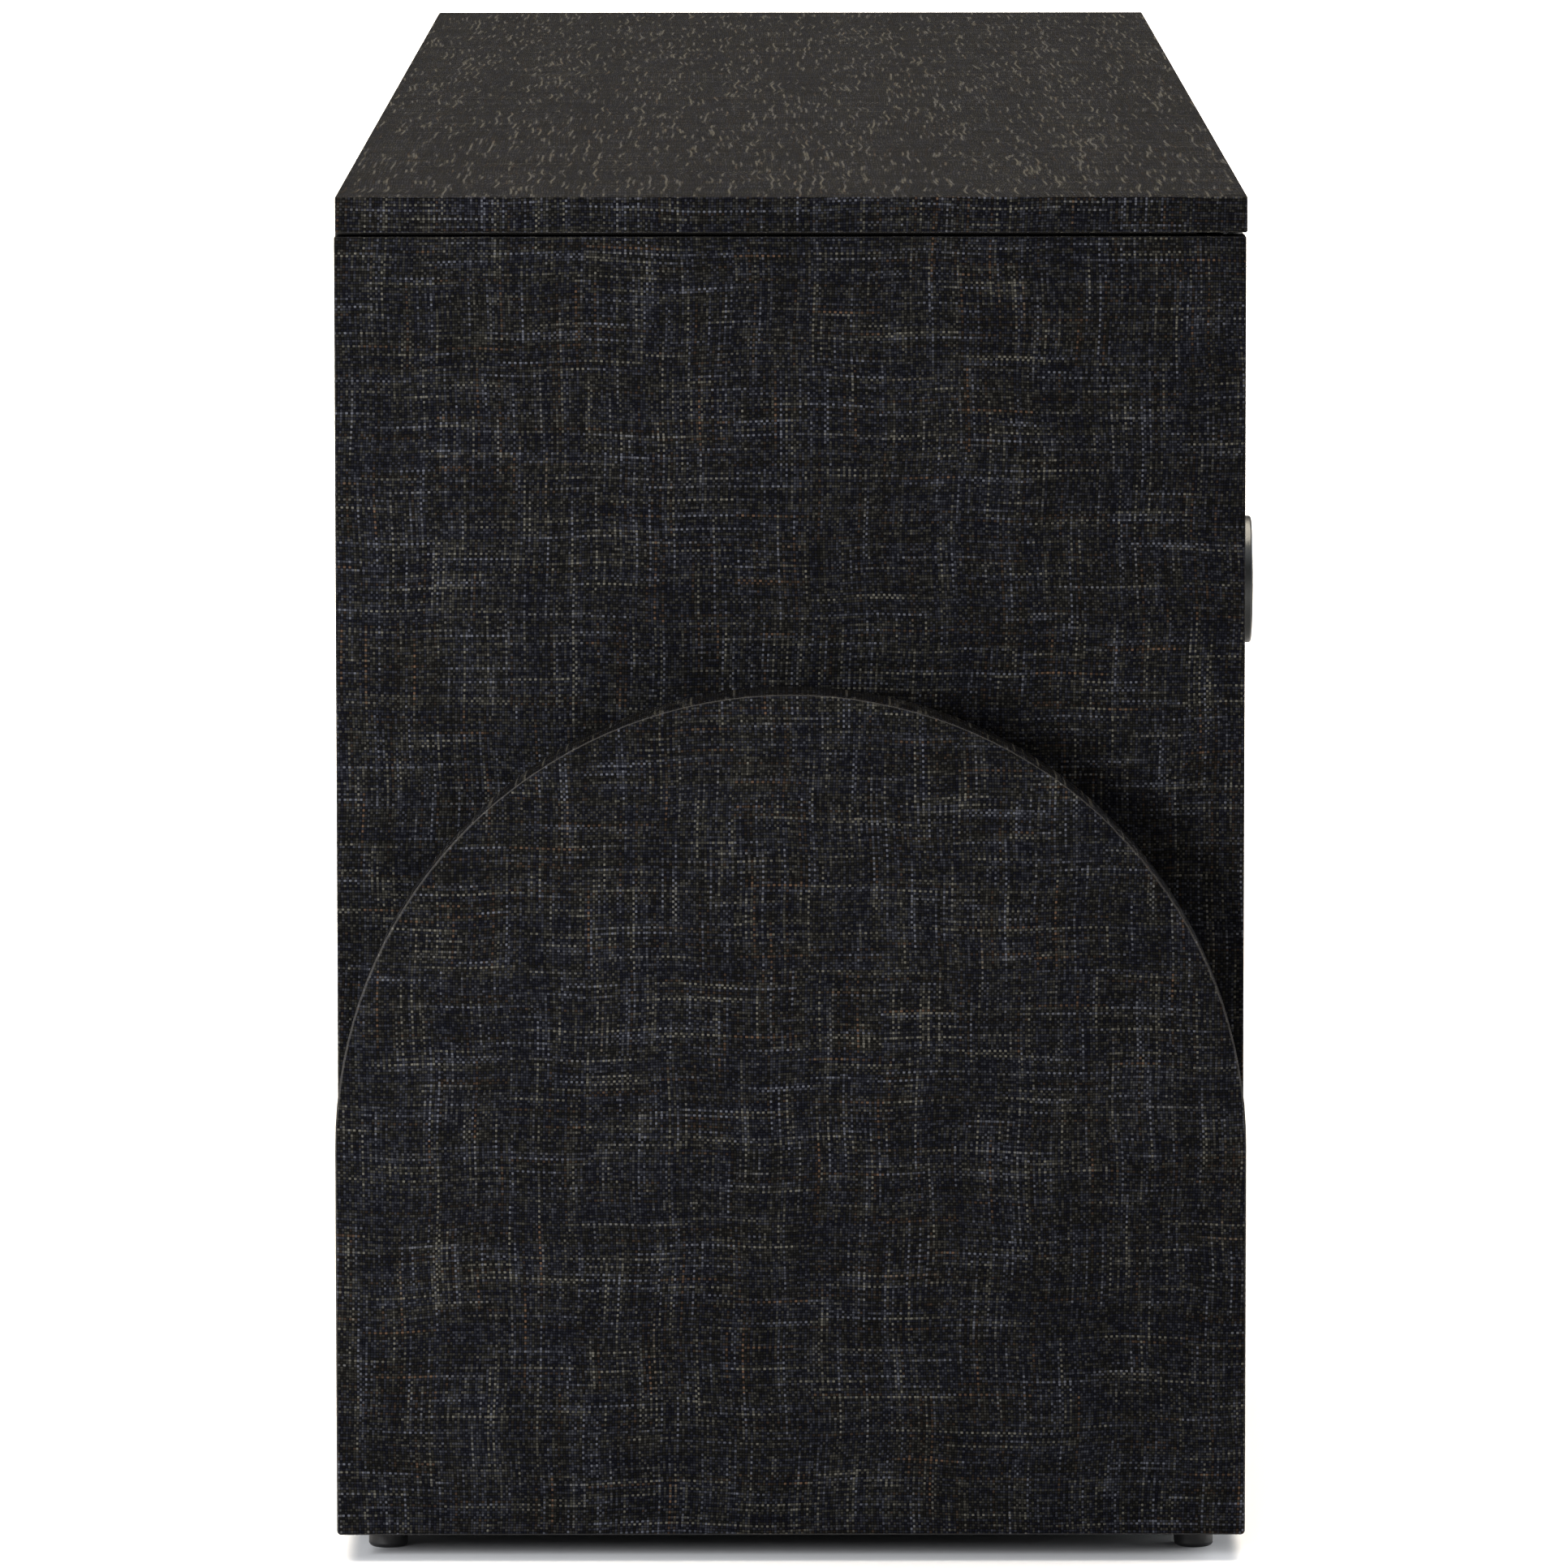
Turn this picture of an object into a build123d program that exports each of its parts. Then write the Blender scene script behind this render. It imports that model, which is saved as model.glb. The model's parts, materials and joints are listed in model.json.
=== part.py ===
from build123d import *
import os

# A long, low dresser in linen-wrapped board: two end cupboards with doors, and
# six drawers between them.  A thick arch-topped panel stands on each end.
# Millimetres.  +X runs along the dresser, the front faces -Y, and +Z is up.
# The origin is on the floor, under the middle of the whole box with its pulls.

os.makedirs("parts", exist_ok=True)

# Overall sizes
LENGTH = 2134.0
CASE_DEPTH = 508.0
HEIGHT = 762.0
PULL_REACH = 20.5
FOOT_HEIGHT = 15.0
ARCH_T = 45.0
ARCH_CORNER_R = 2.5

# Boards
BOARD = 20.5
INNER_BOARD = 18.0
BACK_T = 6.0
EDGE_R = 1.2
REVEAL = 3.0
TOP_GAP = 2.0
SLAB_FORWARD = 0.6
SETBACK = 27.0
BACK_RECESS = 8.0

# Arch panels
ARCH_R = CASE_DEPTH / 2
ARCH_SPRING_Z = 234.0

# Feet
GLIDE_EDGE_R = 2.5
GLIDE_R = 11.0
GLIDE_INSET_END = 54.0
GLIDE_INSET_EDGE = 27.0
STEM_R = 4.0
STEM_BOTTOM = 5.0
STEM_TOP = 33.0

# Shelves and their pins
SHELF_T = 18.0
SHELF_FRONT = 60.0
SHELF_GAP = 1.0
PIN_R = 2.5
PIN_LENGTH = 16.0
PIN_PITCH = 32.0
PIN_ROWS = 5
PIN_LOWEST_Z = 306.0
PIN_INSETS = (95.0, 430.0)

# Doors and their pivots
PIVOT_FROM_SIDE = 14.0
PIVOT_FROM_FRONT = 8.0
PIVOT_R = 3.0
PIVOT_CLEARANCE = 0.05
PIVOT_REACH = 9.0
PIVOT_PLATE = (40.0, 12.0, 2.0)
BUSH_R = 5.0
BUSH_DEPTH = 11.0
BUSH_FLOOR = 1.0
FLANGE_R = 7.0
FLANGE_T = 2.6
DOOR_PULL_INSET = 60.0
DOOR_PULL_Z = 503.5
CATCH = (46.0, 26.0, 14.0)
CATCH_INSET = 20.0
CATCH_GAP = 0.3
STRIKE = (40.0, 1.5, 12.0)

# Pulls: a round disc on two posts
PULL_R = 37.8
PULL_PLATE_T = 8.0
PULL_RIM_R = 1.5
PULL_BACK_R = 1.0
POST_R = 6.0
POST_SPREAD = 20.0
POST_RISE = 20.0
SCREW_R = 2.0
SCREW_HEAD_R = 4.0
SCREW_HEAD_T = 2.4
SCREW_BITE = 8.0

# Drawers
DRAWER_ROWS = ("bottom", "middle", "top")
BOX_BOARD = 12.0
BOX_DEPTH = 440.0
BOX_HEIGHT = 170.0
BOX_RISE = 22.0
BOX_BOTTOM_T = 6.0
BOX_BOTTOM_RISE = 10.0
GROOVE = 6.0

# Side-mounted drawer slides
SLIDE_T = 12.7
SLIDE_HEIGHT = 45.0
SLIDE_LENGTH = 430.0
SLIDE_START = 34.0
SLIDE_RISE = 60.0
SLIDE_WALL = 1.2
RAIL_REACH = 11.4
SLIDE_GAP = 0.4
ROLLER_R = 18.8
ROLLER_T = 6.0

# Screws through the side and back panels
WOOD_SCREW_R = 2.5
WOOD_HEAD_R = 5.0
WOOD_HEAD_T = 2.0
ARCH_SCREW_LENGTH = 42.0
ARCH_SCREW_ZS = (120.0, 330.0)
ARCH_SCREW_Y = 150.0
BACK_SCREW_LENGTH = 24.0
BACK_SCREW_ROWS = 4

# Planes of the case, worked out from the sizes above
FRONT_Y = PULL_REACH / 2 - CASE_DEPTH / 2
BACK_Y = FRONT_Y + CASE_DEPTH
MID_Y = (FRONT_Y + BACK_Y) / 2
SLAB_X = LENGTH / 2 - ARCH_T
SIDE_X = SLAB_X - BOARD
SLAB_Z = HEIGHT - BOARD
SIDE_TOP_Z = SLAB_Z - TOP_GAP
FLOOR_Z = FOOT_HEIGHT + BOARD
FRONT_LOW_Z = FLOOR_Z + REVEAL
FRONT_HIGH_Z = SLAB_Z - REVEAL
INNER_TOP_Z = SLAB_Z - INNER_BOARD
INNER_FRONT_Y = FRONT_Y + SETBACK
BACK_FACE_Y = BACK_Y - BACK_RECESS
INNER_BACK_Y = BACK_FACE_Y - BACK_T
FRONT_WIDTH = (2 * SIDE_X - 5 * REVEAL) / 4
PARTITION_X = SIDE_X - 1.5 * REVEAL - FRONT_WIDTH
DRAWER_FRONT_Z = (FRONT_HIGH_Z - FRONT_LOW_Z - 2 * REVEAL) / 3
BAY_X = (INNER_BOARD / 2, PARTITION_X - INNER_BOARD / 2)
CUPBOARD_X = (PARTITION_X + INNER_BOARD / 2, SIDE_X)
PIVOT_X = SIDE_X - PIVOT_FROM_SIDE
PIVOT_Y = FRONT_Y + PIVOT_FROM_FRONT
SHELF_Z = PIN_LOWEST_Z + (PIN_ROWS // 2) * PIN_PITCH + PIN_R

SIDES = {"left": -1, "right": 1}


def block(xs, ys, zs):
    """A box between three (low, high) pairs, given in either order."""
    low = [min(pair) for pair in (xs, ys, zs)]
    size = [abs(pair[1] - pair[0]) for pair in (xs, ys, zs)]
    corner = (Align.MIN, Align.MIN, Align.MIN)
    return Pos(*low) * Box(*size, align=corner)


def wrapped_board(xs, ys, zs):
    """A board whose edges are softened by the cloth wrapped round them."""
    board = block(xs, ys, zs)
    return fillet(board.edges(), EDGE_R)


def rod(start, axis, length, radius):
    """A cylinder from a start point along the direction of an axis."""
    return extrude(Plane(start, z_dir=axis) * Circle(radius), length)


def wood_screw(start, axis, length):
    """A countersunk-style screw: its head's face is at start."""
    head = rod(start, axis, WOOD_HEAD_T, WOOD_HEAD_R)
    return head + rod(start, axis, length, WOOD_SCREW_R)


def save(node, *solids):
    """Write one node: one solid, or a group of separate ones."""
    shape = solids[0] if len(solids) == 1 else Compound(children=list(solids))
    shape.label = node
    export_step(shape, f"parts/{node}.step")


def less(shape, *cutters):
    """The shape with every cutter taken out of it, as one solid."""
    for cutter in cutters:
        shape = shape - cutter
    return shape.solids()[0]


# Feet: round plastic glides on steel stems ---------------------------------

def glide_places():
    """The six feet: a pair under each end and a pair at the middle."""
    end = LENGTH / 2 - GLIDE_INSET_END
    ys = (FRONT_Y + GLIDE_INSET_EDGE, BACK_Y - GLIDE_INSET_EDGE)
    return [(x, y) for x in (-end, 0.0, end) for y in ys]


def glide_stem(x, y):
    return rod((x, y, STEM_BOTTOM), (0, 0, 1), STEM_TOP - STEM_BOTTOM, STEM_R)


def glide(x, y):
    body = rod((x, y, 0), (0, 0, 1), FOOT_HEIGHT, GLIDE_R)
    body = fillet(body.edges().sort_by(Axis.Z)[0], GLIDE_EDGE_R)
    return less(body, glide_stem(x, y))


stems = [glide_stem(x, y) for x, y in glide_places()]
save("foot_glides", *[glide(x, y) for x, y in glide_places()])
save("glide_stems", *stems)


# Screws that hold the arch panels and the back -----------------------------

def arch_screws(side):
    """Four screws from inside a cupboard, through the side, into the arch."""
    sign = SIDES[side]
    return [
        wood_screw((sign * SIDE_X, MID_Y + y, z), (sign, 0, 0), ARCH_SCREW_LENGTH)
        for z in ARCH_SCREW_ZS
        for y in (-ARCH_SCREW_Y, ARCH_SCREW_Y)
    ]


def back_screws():
    """Rows of screws through the back panel into the partitions."""
    step = (INNER_TOP_Z - FLOOR_Z) / BACK_SCREW_ROWS
    zs = [FLOOR_Z + step * (row + 0.5) for row in range(BACK_SCREW_ROWS)]
    xs = (-PARTITION_X, 0.0, PARTITION_X)
    return [
        wood_screw((x, BACK_FACE_Y, z), (0, -1, 0), BACK_SCREW_LENGTH)
        for x in xs
        for z in zs
    ]


panel_screws = {side: arch_screws(side) for side in SIDES}
rear_screws = back_screws()
save("arch_screws", *panel_screws["left"], *panel_screws["right"])
save("back_screws", *rear_screws)


# Shelf pins and their holes ------------------------------------------------

def pin_columns(side):
    """The two upright faces of a cupboard, and which way each one points in."""
    sign = SIDES[side]
    inner, outer = CUPBOARD_X
    return [(sign * inner, sign), (sign * outer, -sign)]


def shelf_pins(side, z):
    """Four round pins at one height, half of each in its board."""
    return [
        rod((x - direction * PIN_LENGTH / 2, FRONT_Y + inset, z), (direction, 0, 0), PIN_LENGTH, PIN_R)
        for x, direction in pin_columns(side)
        for inset in PIN_INSETS
    ]


def pin_holes(side):
    """Cutters for every pin position in a cupboard."""
    return [
        pin
        for row in range(PIN_ROWS)
        for pin in shelf_pins(side, PIN_LOWEST_Z + row * PIN_PITCH)
    ]


pins = {side: shelf_pins(side, SHELF_Z - PIN_R) for side in SIDES}
save("shelf_pins", *pins["left"], *pins["right"])


# Door pivots: a pin on a plate let into the door, running in a flanged bush -

def pivot(side, up):
    """A pivot for the door's top (up = 1) or bottom (up = -1) edge."""
    sign = SIDES[side]
    edge_z = FRONT_HIGH_Z if up > 0 else FRONT_LOW_Z
    length, width, thick = PIVOT_PLATE
    plate_x = (sign * (PIVOT_X + width / 2), sign * (PIVOT_X + width / 2 - length))
    plate_y = (PIVOT_Y - width / 2, PIVOT_Y + width / 2)
    plate = block(plate_x, plate_y, (edge_z - up * thick, edge_z))
    pin = rod((sign * PIVOT_X, PIVOT_Y, edge_z - up * thick), (0, 0, up), thick + REVEAL + PIVOT_REACH, PIVOT_R)
    return plate + pin


def bush(side, up):
    """The flanged bush that a pivot pin turns in."""
    face_z = SLAB_Z if up > 0 else FLOOR_Z
    place = (SIDES[side] * PIVOT_X, PIVOT_Y)
    body = rod((*place, face_z), (0, 0, up), BUSH_DEPTH, BUSH_R)
    flange = rod((*place, face_z - up * FLANGE_T), (0, 0, up), FLANGE_T, FLANGE_R)
    hole_depth = FLANGE_T + BUSH_DEPTH - BUSH_FLOOR
    hole = rod((*place, face_z - up * FLANGE_T), (0, 0, up), hole_depth, PIVOT_R + PIVOT_CLEARANCE)
    return less(body + flange, hole)


def bush_seat(side, up):
    """The bore that a bush is pressed into."""
    face_z = SLAB_Z if up > 0 else FLOOR_Z
    return rod((SIDES[side] * PIVOT_X, PIVOT_Y, face_z), (0, 0, up), BUSH_DEPTH, BUSH_R)


save("door_bushes", *[bush(side, up) for side in SIDES for up in (-1, 1)])


# Case ----------------------------------------------------------------------

def top_slab():
    ys = (FRONT_Y - SLAB_FORWARD, BACK_Y - SLAB_FORWARD)
    slab = wrapped_board((-SLAB_X, SLAB_X), ys, (SLAB_Z, HEIGHT))
    return less(slab, *[bush_seat(side, 1) for side in SIDES])


def bottom_panel():
    panel = wrapped_board((-SIDE_X, SIDE_X), (FRONT_Y, BACK_Y), (FOOT_HEIGHT, FLOOR_Z))
    return less(panel, *stems, *[bush_seat(side, -1) for side in SIDES])


def side_panel(side):
    sign = SIDES[side]
    panel = wrapped_board((sign * SIDE_X, sign * SLAB_X), (FRONT_Y, BACK_Y), (FOOT_HEIGHT, SIDE_TOP_Z))
    return less(panel, *stems, *panel_screws[side], *pin_holes(side))


def arch_panel(side):
    """A thick panel as deep as the case, with a half-round top."""
    sign = SIDES[side]
    front, back = FRONT_Y, BACK_Y
    sides = Polyline((front, ARCH_SPRING_Z), (front, FOOT_HEIGHT), (back, FOOT_HEIGHT), (back, ARCH_SPRING_Z))
    crown = ThreePointArc((back, ARCH_SPRING_Z), (MID_Y, ARCH_SPRING_Z + ARCH_R), (front, ARCH_SPRING_Z))
    face = Plane.YZ.offset(sign * SLAB_X) * make_face(sides + crown)
    panel = extrude(face, sign * ARCH_T)
    corners = panel.edges().filter_by(Axis.X).group_by(Axis.Z)[0]
    panel = fillet(corners, ARCH_CORNER_R)
    rims = panel.faces().sort_by(Axis.X)
    panel = fillet(rims[0].edges() + rims[-1].edges(), EDGE_R)
    return less(panel, *panel_screws[side])


def partition(x, *holes):
    ys = (INNER_FRONT_Y, INNER_BACK_Y)
    board = block((x - INNER_BOARD / 2, x + INNER_BOARD / 2), ys, (FLOOR_Z, INNER_TOP_Z))
    return less(board, *rear_screws, *holes)


def shelf(side):
    sign = SIDES[side]
    inner, outer = CUPBOARD_X
    xs = (sign * (inner + SHELF_GAP), sign * (outer - SHELF_GAP))
    ys = (FRONT_Y + SHELF_FRONT, INNER_BACK_Y - SHELF_GAP)
    return block(xs, ys, (SHELF_Z, SHELF_Z + SHELF_T))


save("top_slab", top_slab())
save("bottom_panel", bottom_panel())
save("carcass_top", block((-SIDE_X, SIDE_X), (INNER_FRONT_Y, BACK_Y), (INNER_TOP_Z, SLAB_Z)))
save("back_panel", less(block((-SIDE_X, SIDE_X), (INNER_BACK_Y, BACK_FACE_Y), (FLOOR_Z, INNER_TOP_Z)), *rear_screws))
save("partition_left", partition(-PARTITION_X, *pin_holes("left")))
save("partition_center", partition(0.0))
save("partition_right", partition(PARTITION_X, *pin_holes("right")))
for side in SIDES:
    save(f"side_panel_{side}", side_panel(side))
    save(f"arch_panel_{side}", arch_panel(side))
    save(f"shelf_{side}", shelf(side))


# Pulls ---------------------------------------------------------------------

def pull(x, z, back_y):
    """A pull centred on (x, z), with screws whose heads bear on back_y."""
    disc = rod((x, FRONT_Y - PULL_REACH, z), (0, 1, 0), PULL_PLATE_T, PULL_R)
    disc = fillet(disc.edges().filter_by(GeomType.CIRCLE).sort_by(Axis.Y)[0], PULL_RIM_R)
    disc = fillet(disc.edges().filter_by(GeomType.CIRCLE).sort_by(Axis.Y)[-1], PULL_BACK_R)
    pieces = [disc]
    for across in (-POST_SPREAD, POST_SPREAD):
        place = (x + across, FRONT_Y - PULL_REACH + PULL_PLATE_T, z + POST_RISE)
        post = rod(place, (0, 1, 0), PULL_REACH - PULL_PLATE_T, POST_R)
        screw = pull_screw(x + across, z + POST_RISE, back_y)
        pieces += [less(post, screw), screw]
    return pieces


def pull_screw(x, z, back_y):
    shank = rod((x, back_y, z), (0, -1, 0), back_y - FRONT_Y + SCREW_BITE, SCREW_R)
    head = rod((x, back_y, z), (0, 1, 0), SCREW_HEAD_T, SCREW_HEAD_R)
    return shank + head


def pull_bores(x, z, back_y):
    """Cutters for the two screws of a pull."""
    return [pull_screw(x + across, z + POST_RISE, back_y) for across in (-POST_SPREAD, POST_SPREAD)]


# Doors ---------------------------------------------------------------------

def save_door(side):
    sign = SIDES[side]
    free_x = PARTITION_X + REVEAL / 2
    pull_x = sign * (free_x + DOOR_PULL_INSET)
    door_back_y = FRONT_Y + BOARD
    pivots = [pivot(side, up) for up in (-1, 1)]
    xs = (sign * free_x, sign * (SIDE_X - REVEAL))
    panel = wrapped_board(xs, (FRONT_Y, door_back_y), (FRONT_LOW_Z, FRONT_HIGH_Z))
    save(f"door_panel_{side}", less(panel, *pivots, *pull_bores(pull_x, DOOR_PULL_Z, door_back_y)))
    save(f"door_pull_{side}", *pull(pull_x, DOOR_PULL_Z, door_back_y))
    save(f"door_pivots_{side}", *pivots)
    save(f"door_strike_{side}", strike(side, door_back_y))


def catch_x(side, width):
    """The x range of a catch piece, centred on the catch."""
    centre = SIDES[side] * (CUPBOARD_X[0] + CATCH_INSET + CATCH[0] / 2)
    return (centre - width / 2, centre + width / 2)


def strike(side, door_back_y):
    """The steel plate on the door that the magnet holds."""
    width, thick, height = STRIKE
    low = INNER_TOP_Z - CATCH[2] / 2 - height / 2
    return block(catch_x(side, width), (door_back_y, door_back_y + thick), (low, low + height))


def catch(side):
    """The magnetic catch under the carcass top."""
    width, depth, height = CATCH
    front = FRONT_Y + BOARD + STRIKE[1] + CATCH_GAP
    body = block(catch_x(side, width), (front, front + depth), (INNER_TOP_Z - height, INNER_TOP_Z))
    return fillet(body.edges().filter_by(Axis.Z), 2.0)


for side in SIDES:
    save_door(side)
save("door_catches", *[catch(side) for side in SIDES])


# Drawer slides -------------------------------------------------------------

def rail(x, direction, z):
    """The channel fixed to the case at x, open towards the drawer."""
    ys = (FRONT_Y + SLIDE_START, FRONT_Y + SLIDE_START + SLIDE_LENGTH)
    half = SLIDE_HEIGHT / 2
    outer = block((x, x + direction * RAIL_REACH), ys, (z - half, z + half))
    hollow_z = (z - half + SLIDE_WALL, z + half - SLIDE_WALL)
    return less(outer, block((x + direction * SLIDE_WALL, x + direction * SLIDE_T), ys, hollow_z))


def runner(x, direction, z):
    """The channel on the drawer's side, nested in the rail."""
    ys = (FRONT_Y + SLIDE_START, FRONT_Y + SLIDE_START + SLIDE_LENGTH)
    half = SLIDE_HEIGHT / 2 - SLIDE_WALL - SLIDE_GAP
    near = x + direction * (SLIDE_WALL + SLIDE_GAP)
    outer = block((near, x + direction * SLIDE_T), ys, (z - half, z + half))
    hollow_z = (z - half + SLIDE_WALL, z + half - SLIDE_WALL)
    return less(outer, block((near, x + direction * (SLIDE_T - SLIDE_WALL)), ys, hollow_z))


def roller(x, direction, z):
    """The nylon wheel at the front end of a rail, inside the runner."""
    y = FRONT_Y + SLIDE_START + ROLLER_R + REVEAL
    wheel = rod((x + direction * SLIDE_WALL, y, z), (direction, 0, 0), ROLLER_T, ROLLER_R)
    return fillet(wheel.edges().sort_by(Axis.X)[0 if direction < 0 else -1], 1.0)


def slide_places(column, base_z):
    """The two rails of one drawer: wall x, direction to the drawer, height."""
    sign = SIDES[column]
    z = base_z + BOX_RISE + SLIDE_RISE
    return [(sign * BAY_X[0], sign, z), (sign * BAY_X[1], -sign, z)]


# Drawers -------------------------------------------------------------------

def drawer_box(xs, base_z):
    """Four boards with a groove for the bottom, and the bottom itself."""
    ys = (FRONT_Y + BOARD, FRONT_Y + BOARD + BOX_DEPTH)
    zs = (base_z + BOX_RISE, base_z + BOX_RISE + BOX_HEIGHT)
    inner_x = (xs[0] + BOX_BOARD, xs[1] - BOX_BOARD)
    inner_y = (ys[0] + BOX_BOARD, ys[1] - BOX_BOARD)
    low = zs[0] + BOX_BOTTOM_RISE
    bottom = block(
        (inner_x[0] - GROOVE, inner_x[1] + GROOVE),
        (inner_y[0] - GROOVE, inner_y[1] + GROOVE),
        (low, low + BOX_BOTTOM_T),
    )
    boards = [
        block((xs[0], inner_x[0]), ys, zs),
        block((inner_x[1], xs[1]), ys, zs),
        block(inner_x, (ys[0], inner_y[0]), zs),
        block(inner_x, (inner_y[1], ys[1]), zs),
    ]
    return [less(board, bottom) for board in boards], bottom


def save_drawer(row, column):
    sign = SIDES[column]
    name = f"{DRAWER_ROWS[row]}_{column}"
    base_z = FRONT_LOW_Z + row * (DRAWER_FRONT_Z + REVEAL)
    front_x = (sign * REVEAL / 2, sign * (REVEAL / 2 + FRONT_WIDTH))
    pull_x = sum(front_x) / 2
    pull_z = base_z + DRAWER_FRONT_Z / 2
    screw_y = FRONT_Y + BOARD + BOX_BOARD
    bores = pull_bores(pull_x, pull_z, screw_y)
    panel = wrapped_board(front_x, (FRONT_Y, FRONT_Y + BOARD), (base_z, base_z + DRAWER_FRONT_Z))
    box_x = sorted(sign * x for x in (BAY_X[0] + SLIDE_T, BAY_X[1] - SLIDE_T))
    boards, bottom = drawer_box(box_x, base_z)
    save(f"drawer_front_{name}", less(panel, *bores))
    save(f"drawer_box_{name}", *[less(board, *bores) for board in boards])
    save(f"drawer_bottom_{name}", bottom)
    save(f"drawer_pull_{name}", *pull(pull_x, pull_z, screw_y))
    save(f"drawer_runners_{name}", *[runner(*place) for place in slide_places(column, base_z)])


rails = []
rollers = []
for row in range(len(DRAWER_ROWS)):
    for column in SIDES:
        save_drawer(row, column)
        places = slide_places(column, FRONT_LOW_Z + row * (DRAWER_FRONT_Z + REVEAL))
        rails += [rail(*place) for place in places]
        rollers += [roller(*place) for place in places]
save("slide_rails", *rails)
save("slide_rollers", *rollers)
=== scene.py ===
import json
import math

import bpy
from mathutils import Matrix, Vector


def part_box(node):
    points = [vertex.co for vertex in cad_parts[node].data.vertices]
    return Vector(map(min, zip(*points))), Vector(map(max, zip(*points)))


# A long, low dresser in linen-wrapped board.  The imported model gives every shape;
# this script gives the materials, the studio and the camera.  Metres throughout.

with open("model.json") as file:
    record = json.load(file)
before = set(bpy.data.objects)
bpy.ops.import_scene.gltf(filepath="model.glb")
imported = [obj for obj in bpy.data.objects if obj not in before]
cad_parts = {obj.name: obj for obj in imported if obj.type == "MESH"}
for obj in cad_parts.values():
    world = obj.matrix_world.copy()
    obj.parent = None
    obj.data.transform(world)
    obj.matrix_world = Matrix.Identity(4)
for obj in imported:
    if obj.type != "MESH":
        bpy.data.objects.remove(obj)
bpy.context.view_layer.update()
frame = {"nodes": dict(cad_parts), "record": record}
nodes = frame["nodes"]

MM = 0.001
SLAB_LOW, SLAB_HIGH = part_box("top_slab")
ARCH_LOW, ARCH_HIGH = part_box("arch_panel_left")
CASE_MID_Y = (ARCH_LOW.y + ARCH_HIGH.y) / 2
ARCH_RADIUS = (ARCH_HIGH.y - ARCH_LOW.y) / 2
ARCH_SPRING_Z = ARCH_HIGH.z - ARCH_RADIUS


# ---------------------------------------------------------------- node helpers

class Shader:
    """A small wrapper that makes and wires shader nodes."""

    def __init__(self, tree):
        self.tree = tree

    def node(self, kind, inputs=None, **settings):
        made = self.tree.nodes.new(kind)
        for name, value in settings.items():
            setattr(made, name, value)
        for name, value in (inputs or {}).items():
            self.feed(made.inputs[name], value)
        return made

    def feed(self, socket, value):
        if isinstance(value, bpy.types.NodeSocket):
            self.tree.links.new(value, socket)
        else:
            socket.default_value = value

    def math(self, operation, *values, clamp=False):
        made = self.node("ShaderNodeMath", operation=operation, use_clamp=clamp)
        for socket, value in zip(made.inputs, values):
            self.feed(socket, value)
        return made.outputs[0]

    def add(self, a, b):
        return self.math("ADD", a, b)

    def sub(self, a, b):
        return self.math("SUBTRACT", a, b)

    def mul(self, a, b):
        return self.math("MULTIPLY", a, b)

    def ramp(self, value, low, high, start=0.0, end=1.0):
        """Smoothly from start to end as value goes from low to high."""
        made = self.node("ShaderNodeMapRange", interpolation_type="SMOOTHSTEP")
        for socket, given in zip(made.inputs, (value, low, high, start, end)):
            self.feed(socket, given)
        return made.outputs[0]

    def vector(self, x=0.0, y=0.0, z=0.0):
        return self.node("ShaderNodeCombineXYZ", {"X": x, "Y": y, "Z": z}).outputs[0]

    def split(self, vector):
        return self.node("ShaderNodeSeparateXYZ", {"Vector": vector}).outputs[:]

    def noise(self, vector, scale=1.0, detail=0.0, roughness=0.5, colour=False):
        inputs = {"Vector": vector, "Scale": scale, "Detail": detail, "Roughness": roughness}
        made = self.node("ShaderNodeTexNoise", inputs)
        return made.outputs["Color" if colour else "Fac"]

    def speckle(self, vector):
        """A different random number in every whole-numbered cell."""
        return self.node("ShaderNodeTexWhiteNoise", {"Vector": vector}).outputs["Value"]

    def mix(self, factor, a, b, blend="MIX"):
        made = self.node("ShaderNodeMix", data_type="RGBA", blend_type=blend)
        self.feed(made.inputs[0], factor)
        for socket, value in ((made.inputs[6], a), (made.inputs[7], b)):
            self.feed(socket, (*value, 1.0) if isinstance(value, tuple) and len(value) == 3 else value)
        return made.outputs[2]

    def choose(self, test, a, b):
        """a where test is 0 and b where it is 1."""
        return self.node("ShaderNodeMix", {0: test, 2: a, 3: b}, data_type="FLOAT").outputs[0]

    def bump(self, height, strength, distance):
        made = self.node("ShaderNodeBump", {"Height": height, "Strength": strength, "Distance": distance})
        return made.outputs[0]


def new_material(name):
    """A material with a Principled shader: the wrapper and the shader node."""
    material = bpy.data.materials.new(name)
    material.use_nodes = True
    shader = Shader(material.node_tree)
    return material, shader, material.node_tree.nodes["Principled BSDF"]


def place(shader):
    """Object-space position in millimetres and the object-space normal."""
    coordinates = shader.node("ShaderNodeTexCoord")
    scaled = shader.node("ShaderNodeVectorMath", operation="SCALE")
    shader.feed(scaled.inputs[0], coordinates.outputs["Object"])
    scaled.inputs["Scale"].default_value = 1.0 / MM
    return shader.split(scaled.outputs[0]), shader.split(coordinates.outputs["Normal"])


def facing(shader, normal):
    """1 where a face looks along X, and 1 where it looks along Z."""
    nx, ny, nz = (shader.math("ABSOLUTE", n) for n in normal)
    along_x = shader.math("GREATER_THAN", nx, shader.math("MAXIMUM", ny, nz))
    along_z = shader.math("GREATER_THAN", nz, shader.math("MAXIMUM", nx, ny))
    return along_x, along_z


# ---------------------------------------------------------------- linen

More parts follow.
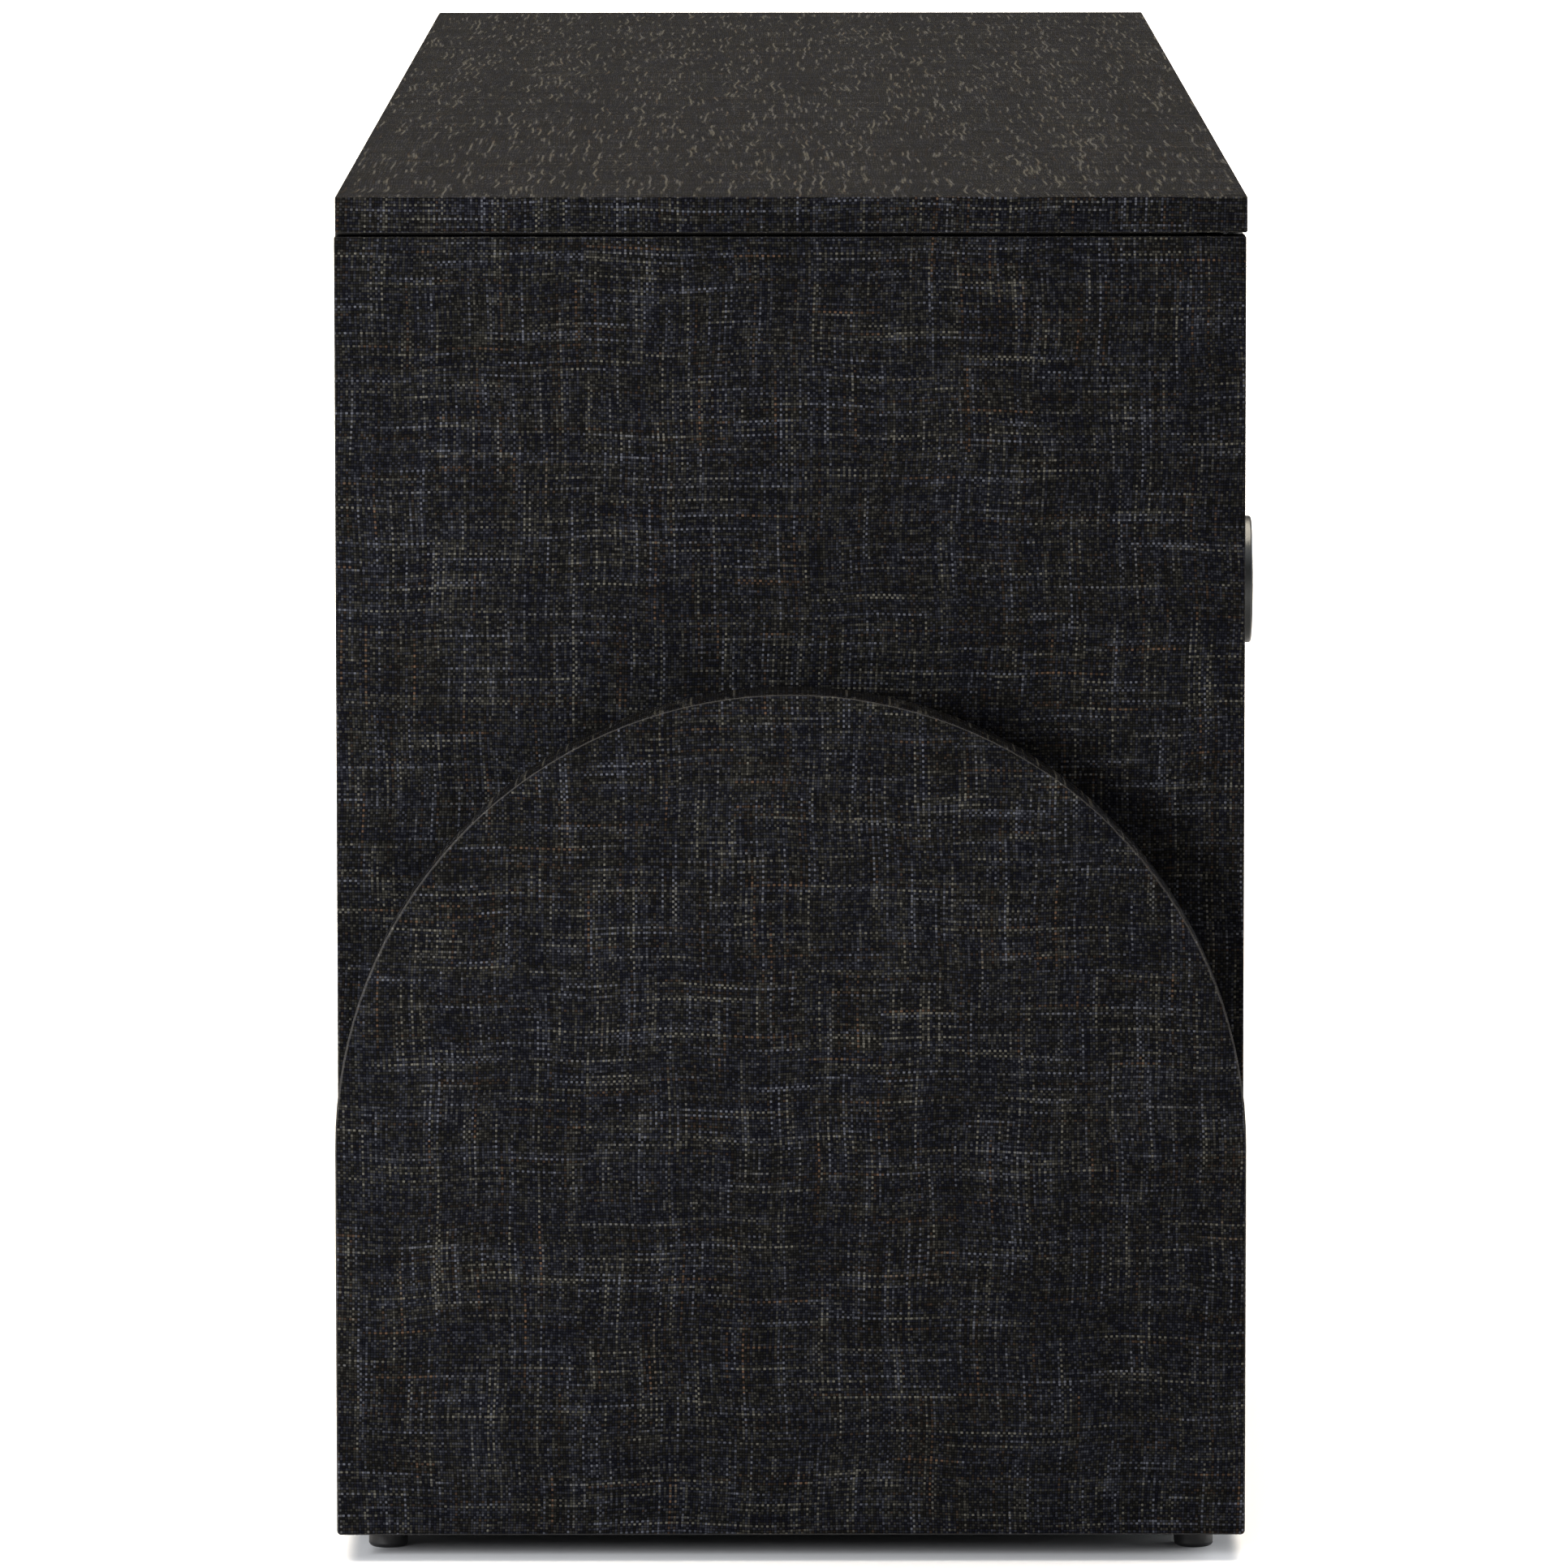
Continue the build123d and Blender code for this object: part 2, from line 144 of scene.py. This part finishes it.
THREAD = 1.5  # mm from one thread to the next
DARK_BLUE = (0.0026, 0.0028, 0.0050)
DARK_OLIVE = (0.0033, 0.0032, 0.0031)
PALE_BLUE = (0.055, 0.058, 0.069)
PALE_STRAW = (0.063, 0.061, 0.053)
# the pale tone of the highlight painted along folds over edges
FOLD_HIGHLIGHT_TONE = (0.060, 0.058, 0.056)
PALE_RUST = (0.058, 0.038, 0.026)
SLUB_AND_SHEEN_ON_TOP = 0.40    # how far a slub lightens a face that looks up: real slubs, shown on such faces only as a painted sheen
ARCH_FOLD_HIGHLIGHT = 0.40      # how far a painted highlight lightens a fold, on an arch panel
BOARD_FOLD_HIGHLIGHT = 0.15     # and on the other boards


def weave_group():
    """Plain-woven linen: colour and height at a place (U, V) in millimetres.

    V runs along the warp and U along the weft.  Each thread has its own tone,
    which comes and goes along it as slubs do, and every crossing differs a little.
    """
    tree = bpy.data.node_groups.new("linen_weave", "ShaderNodeTree")
    for name in ("U", "V"):
        tree.interface.new_socket(name, in_out="INPUT", socket_type="NodeSocketFloat")
    tree.interface.new_socket("Color", in_out="OUTPUT", socket_type="NodeSocketColor")
    tree.interface.new_socket("Height", in_out="OUTPUT", socket_type="NodeSocketFloat")
    tree.interface.new_socket("Slub", in_out="OUTPUT", socket_type="NodeSocketFloat")
    s = Shader(tree)
    given = s.node("NodeGroupInput")
    out = s.node("NodeGroupOutput")
    u, v = given.outputs["U"], given.outputs["V"]

    # threads bow a little instead of running dead straight
    bow_u = s.noise(s.vector(s.mul(u, 0.010), s.mul(v, 0.020), 5.0))
    bow_v = s.noise(s.vector(s.mul(u, 0.020), s.mul(v, 0.010), 9.0))
    u_cells = s.add(s.mul(u, 1 / THREAD), s.mul(bow_u, 3.0))
    v_cells = s.add(s.mul(v, 1 / THREAD), s.mul(bow_v, 3.0))
    i, j = s.math("FLOOR", u_cells), s.math("FLOOR", v_cells)
    across_u = s.sub(s.math("FRACT", u_cells), 0.5)
    across_v = s.sub(s.math("FRACT", v_cells), 0.5)
    weft_up = s.math("FLOORED_MODULO", s.add(i, j), 2.0)

    # the round of each thread
    round_u = s.math("COSINE", s.mul(across_u, math.pi))
    round_v = s.math("COSINE", s.mul(across_v, math.pi))
    warp_height = s.mul(round_u, s.add(0.35, s.mul(round_v, 0.65)))
    weft_height = s.mul(round_v, s.add(0.55, s.mul(round_u, 0.45)))
    height = s.choose(weft_up, warp_height, weft_height)

    # each thread's own tone, which swells and fades along its length
    warp_run = s.noise(s.vector(s.mul(i, 5.37), s.mul(v, 0.015)), detail=1.0)
    weft_run = s.noise(s.vector(s.mul(u, 0.013), s.mul(j, 5.37), 4.0), detail=1.0)
    warp_band = s.noise(s.vector(s.mul(u, 0.10), s.mul(v, 0.010), 7.0), detail=1.0)
    weft_band = s.noise(s.vector(s.mul(u, 0.008), s.mul(v, 0.12), 3.0), detail=1.0)
    fleck = s.speckle(s.vector(i, j))
    warp_light = s.add(s.ramp(warp_run, 0.52, 0.76), s.mul(s.ramp(warp_band, 0.42, 0.70), 0.12))
    weft_light = s.add(s.ramp(weft_run, 0.54, 0.76), s.mul(s.ramp(weft_band, 0.42, 0.70), 0.10))
    light = s.choose(weft_up, warp_light, weft_light)
    light = s.mul(light, s.add(0.30, s.mul(fleck, 0.95)))
    light = s.add(light, s.mul(s.math("POWER", fleck, 2.5), 0.26))

    # yarns are blue-black, charcoal, olive or brown, thread by thread
    warp_hue = s.speckle(s.vector(i, s.math("FLOOR", s.mul(v, 0.021)), 1.0))
    weft_hue = s.speckle(s.vector(s.math("FLOOR", s.mul(u, 0.024)), j, 2.0))
    hue = s.choose(weft_up, warp_hue, weft_hue)
    dark = s.mix(s.ramp(hue, 0.25, 0.75), DARK_BLUE, DARK_OLIVE)
    pale = s.mix(s.ramp(hue, 0.30, 0.62), PALE_BLUE, PALE_STRAW)
    pale = s.mix(s.ramp(hue, 0.93, 0.95), pale, PALE_RUST)
    colour = s.mix(s.math("MINIMUM", light, 1.0), dark, pale)
    # painted shade: the colour darkens down each thread's round into the gaps between threads
    painted_gap_shade = s.ramp(height, 0.05, 0.80, 0.25, 1.0)
    shaded = s.mix(1.0, colour, s.vector(painted_gap_shade, painted_gap_shade, painted_gap_shade), blend="MULTIPLY")
    s.feed(out.inputs["Color"], shaded)
    s.feed(out.inputs["Height"], height)
    s.feed(out.inputs["Slub"], s.ramp(weft_run, 0.58, 0.70))
    return tree


WEAVE = weave_group()


def linen_material(name, along_arch=False):
    """Linen wrapped round a board; on an arch panel it follows the curved rim.

    A pale highlight is painted where the cloth folds over an edge.
    """
    material, s, bsdf = new_material(name)
    (x, y, z), normal = place(s)
    along_x, along_z = facing(s, normal)
    if along_arch:
        rise = s.sub(z, ARCH_SPRING_Z / MM)
        reach = s.math("ABSOLUTE", s.sub(y, CASE_MID_Y / MM))
        angle = s.math("ARCTAN2", s.math("MAXIMUM", rise, 0.0), reach)
        rim_v = s.add(s.math("MINIMUM", z, ARCH_SPRING_Z / MM), s.mul(angle, ARCH_RADIUS / MM))
        u = s.choose(along_x, x, y)
        v = s.choose(along_x, rim_v, z)
    else:
        u = s.choose(along_x, x, y)
        v = s.choose(along_z, z, y)
    weave = s.node("ShaderNodeGroup", node_tree=WEAVE)
    s.feed(weave.inputs["U"], u)
    s.feed(weave.inputs["V"], v)
    # real slubs, lightened on faces that look along Z only, as a painted sheen
    slub_and_sheen = s.mul(s.mul(along_z, weave.outputs["Slub"]), SLUB_AND_SHEEN_ON_TOP)
    colour = s.mix(slub_and_sheen, weave.outputs["Color"], PALE_STRAW)
    # the fold mask marks where the cloth turns over an edge, for a painted highlight
    if along_arch:
        across = s.math("ABSOLUTE", normal[0])
        fold = s.mul(s.mul(across, s.math("SQRT", s.sub(1.0, s.mul(across, across)))), 2.0)
        highlight_share = ARCH_FOLD_HIGHLIGHT
    else:
        flat_x, flat_y, flat_z = (s.math("POWER", s.math("ABSOLUTE", n), 4.0) for n in normal)
        flat = s.add(s.add(flat_x, flat_y), flat_z)
        fold = s.mul(s.sub(1.0, flat), 2.0)
        highlight_share = BOARD_FOLD_HIGHLIGHT
    # painted highlight: folds over edges are lightened towards a pale tone
    with_fold_highlight = s.mix(s.mul(s.ramp(fold, 0.3, 1.0), highlight_share), colour, FOLD_HIGHLIGHT_TONE)
    s.feed(bsdf.inputs["Base Color"], with_fold_highlight)
    s.feed(bsdf.inputs["Normal"], s.bump(weave.outputs["Height"], 0.55, 0.25 * MM))
    bsdf.inputs["Roughness"].default_value = 0.7
    bsdf.inputs["Specular IOR Level"].default_value = 0.022
    return material


# ---------------------------------------------------------------- metal, wood, plastic

def brushed_material(name, tone, roughness, streaks=(1.0, 14.0, 14.0)):
    """Metal brushed along the direction in which streaks is smallest."""
    material, s, bsdf = new_material(name)
    (x, y, z), _ = place(s)
    stretched = s.vector(*(s.mul(axis, share) for axis, share in zip((x, y, z), streaks)))
    lines = s.noise(stretched, scale=0.5, detail=4.0, roughness=0.65)
    patches = s.noise(s.vector(x, y, z), scale=0.05, detail=2.0)
    shade = s.mix(s.ramp(lines, 0.3, 0.7), tuple(t * 0.72 for t in tone), tuple(t * 1.18 for t in tone))
    s.feed(bsdf.inputs["Base Color"], shade)
    rough = s.add(s.ramp(patches, 0.3, 0.7, roughness - 0.06, roughness + 0.06), s.mul(lines, 0.08))
    s.feed(bsdf.inputs["Roughness"], rough)
    s.feed(bsdf.inputs["Normal"], s.bump(lines, 0.25, 0.05 * MM))
    bsdf.inputs["Metallic"].default_value = 1.0
    return material


def wood_material(name, early, late, roughness, ends_along_y=False):
    """Fine straight-grained wood.

    The grain runs along Y on faces that look along X, and along X on the others.
    With ends_along_y it runs along Y on faces that look up too, as on drawer sides.
    """
    material, s, bsdf = new_material(name)
    (x, y, z), normal = place(s)
    along_x, along_z = facing(s, normal)
    runs_y = s.add(along_x, along_z) if ends_along_y else along_x
    shrink_x = s.add(0.02, s.mul(runs_y, 0.98))
    shrink_y = s.sub(1.0, s.mul(runs_y, 0.98))
    stretched = s.vector(s.mul(x, shrink_x), s.mul(y, shrink_y), z)
    figure = s.noise(stretched, scale=0.09, detail=4.0, roughness=0.55)
    pores = s.noise(stretched, scale=1.1, detail=3.0, roughness=0.6)
    grain = s.mix(s.ramp(figure, 0.32, 0.68), early, late)
    grain = s.mix(s.mul(s.ramp(pores, 0.56, 0.72), 0.45), grain, tuple(c * 0.45 for c in late))
    s.feed(bsdf.inputs["Base Color"], grain)
    s.feed(bsdf.inputs["Normal"], s.bump(pores, 0.2, 0.1 * MM))
    s.feed(bsdf.inputs["Roughness"], s.ramp(pores, 0.3, 0.7, roughness - 0.08, roughness + 0.1))
    bsdf.inputs["Specular IOR Level"].default_value = 0.2
    return material


def plastic_material(name, tone, roughness):
    """Moulded plastic with a fine spark-eroded grain."""
    material, s, bsdf = new_material(name)
    (x, y, z), _ = place(s)
    grain = s.noise(s.vector(x, y, z), scale=3.0, detail=2.0)
    cloud = s.noise(s.vector(x, y, z), scale=0.2, detail=2.0)
    shade = s.mix(s.ramp(cloud, 0.3, 0.7), tone, tuple(t * 1.35 for t in tone))
    s.feed(bsdf.inputs["Base Color"], shade)
    s.feed(bsdf.inputs["Normal"], s.bump(grain, 0.2, 0.05 * MM))
    s.feed(bsdf.inputs["Roughness"], s.ramp(cloud, 0.3, 0.7, roughness - 0.05, roughness + 0.08))
    return material


LINEN = linen_material("linen")
ARCH_LINEN = linen_material("linen_arch", along_arch=True)
EARLY_WOOD = (0.34, 0.225, 0.125)
LATE_WOOD = (0.27, 0.170, 0.090)
BOX_WOOD = wood_material("drawer_box_wood", EARLY_WOOD, LATE_WOOD, 0.45, ends_along_y=True)
MATERIALS = {
    "linen_wrap": LINEN,
    "gunmetal": brushed_material("gunmetal", (0.064, 0.067, 0.069), 0.32),
    "dark_veneer": wood_material("dark_veneer", (0.0115, 0.0095, 0.0085), (0.0075, 0.0063, 0.0056), 0.55),
    "drawer_wood": wood_material("drawer_wood", EARLY_WOOD, LATE_WOOD, 0.45),
    "zinc_steel": brushed_material("zinc_steel", (0.40, 0.41, 0.43), 0.36, streaks=(9.0, 0.6, 9.0)),
    "bright_steel": brushed_material("bright_steel", (0.27, 0.265, 0.255), 0.34),
    "black_plastic": plastic_material("black_plastic", (0.008, 0.008, 0.009), 0.45),
    "white_nylon": plastic_material("white_nylon", (0.62, 0.60, 0.54), 0.42),
}


def dress():
    """Gives every CAD node the material of its slot, or a version made for its shape."""
    slots = {part["node"]: part["material_slot"] for part in frame["record"]["subparts"]}
    for name, thing in nodes.items():
        material = MATERIALS[slots[name]]
        if name.startswith("arch_panel"):
            material = ARCH_LINEN
        elif name.startswith("drawer_box"):
            material = BOX_WOOD
        thing.data.materials.clear()
        thing.data.materials.append(material)


dress()


# ---------------------------------------------------------------- studio

def soft_sun(name, towards, strength, spread, tint=(1.0, 1.0, 1.0)):
    """Even light from one part of the sky; a wide spread makes soft shadows."""
    data = bpy.data.lights.new(name, "SUN")
    data.energy = strength
    data.angle = math.radians(spread)
    data.color = tint
    light = bpy.data.objects.new(name, data)
    bpy.context.scene.collection.objects.link(light)
    light.rotation_euler = Vector(towards).to_track_quat("-Z", "Y").to_euler()


def softbox(name, spot, target, size, watts):
    """A rectangular light near the object, so that its light falls off across it."""
    data = bpy.data.lights.new(name, "AREA")
    data.shape = "RECTANGLE"
    data.size, data.size_y = size
    data.energy = watts
    light = bpy.data.objects.new(name, data)
    bpy.context.scene.collection.objects.link(light)
    light.location = spot
    light.rotation_euler = (Vector(target) - Vector(spot)).to_track_quat("-Z", "Y").to_euler()


FLOOR_REACH = 60.0
FLOOR_TONE = (0.60, 0.61, 0.63, 1.0)


def floor():
    """A plain pale floor."""
    mesh = bpy.data.meshes.new("floor")
    corners = [(FLOOR_REACH * x, FLOOR_REACH * y, 0) for x, y in ((-1, -1), (1, -1), (1, 1), (-1, 1))]
    mesh.from_pydata(corners, [], [(0, 1, 2, 3)])
    sheet = bpy.data.objects.new("floor", mesh)
    bpy.context.scene.collection.objects.link(sheet)
    material, _, bsdf = new_material("floor")
    bsdf.inputs["Base Color"].default_value = FLOOR_TONE
    bsdf.inputs["Roughness"].default_value = 0.8
    bsdf.inputs["Specular IOR Level"].default_value = 0.2
    mesh.materials.append(material)


def studio():
    """A white room with three wide suns, and a softbox near the end that the camera sees."""
    world = bpy.data.worlds.new("studio")
    world.use_nodes = True
    s = Shader(world.node_tree)
    background = world.node_tree.nodes["Background"]
    rise = s.split(s.node("ShaderNodeTexCoord").outputs["Generated"])[2]
    s.feed(background.inputs["Strength"], s.ramp(rise, 0.10, 0.35, 1.0, 0.3))
    background.inputs["Color"].default_value = (1.0, 1.0, 1.0, 1.0)
    bpy.context.scene.world = world
    bpy.context.scene.view_settings.view_transform = "Standard"
    bpy.context.scene.view_settings.gamma = 0.85
    soft_sun("overhead", (-0.25, -0.1, -1.0), 9.0, 60, (1.0, 0.90, 0.76))
    soft_sun("camera_side", (0.8, 0.0, -1.0), 0.7, 40)
    soft_sun("front", (-0.25, 1.0, -0.45), 3.2, 40)
    softbox("key", (-2.35, 1.15, 0.60), (-1.07, 0.08, 0.42), (0.30, 0.55), 64)
    floor()


# ---------------------------------------------------------------- camera

CAMERA_DISTANCE = 6.786     # from the near end of the top slab
CAMERA_HEIGHT = 1.2034
CAMERA_SIDE = 0.0008        # towards the back, from the middle of the case
CAMERA_PITCH = math.radians(6.478)
CAMERA_YAW = math.radians(0.0237)
CAMERA_ROLL = math.radians(-0.04)
SENSOR = 36.0
FOCAL = 15044.0 / 1932.0 * SENSOR


def camera():
    """A long lens that looks straight at the left-hand end, from a little above."""
    data = bpy.data.cameras.new("camera")
    data.sensor_width = SENSOR
    data.lens = FOCAL
    data.clip_start = 0.1
    data.clip_end = 200.0
    thing = bpy.data.objects.new("camera", data)
    bpy.context.scene.collection.objects.link(thing)
    ahead = Vector((math.cos(CAMERA_PITCH), 0.0, -math.sin(CAMERA_PITCH)))
    right = Vector((0.0, -1.0, 0.0))
    up = right.cross(ahead)
    turn = Matrix((right, up, -ahead)).transposed()
    turn = Matrix.Rotation(CAMERA_YAW, 3, "Z") @ turn @ Matrix.Rotation(CAMERA_ROLL, 3, "Z")
    spot = Vector((SLAB_LOW.x - CAMERA_DISTANCE, CASE_MID_Y + CAMERA_SIDE, CAMERA_HEIGHT))
    thing.matrix_world = Matrix.LocRotScale(spot, turn.to_quaternion(), None)
    bpy.context.scene.camera = thing


studio()
camera()
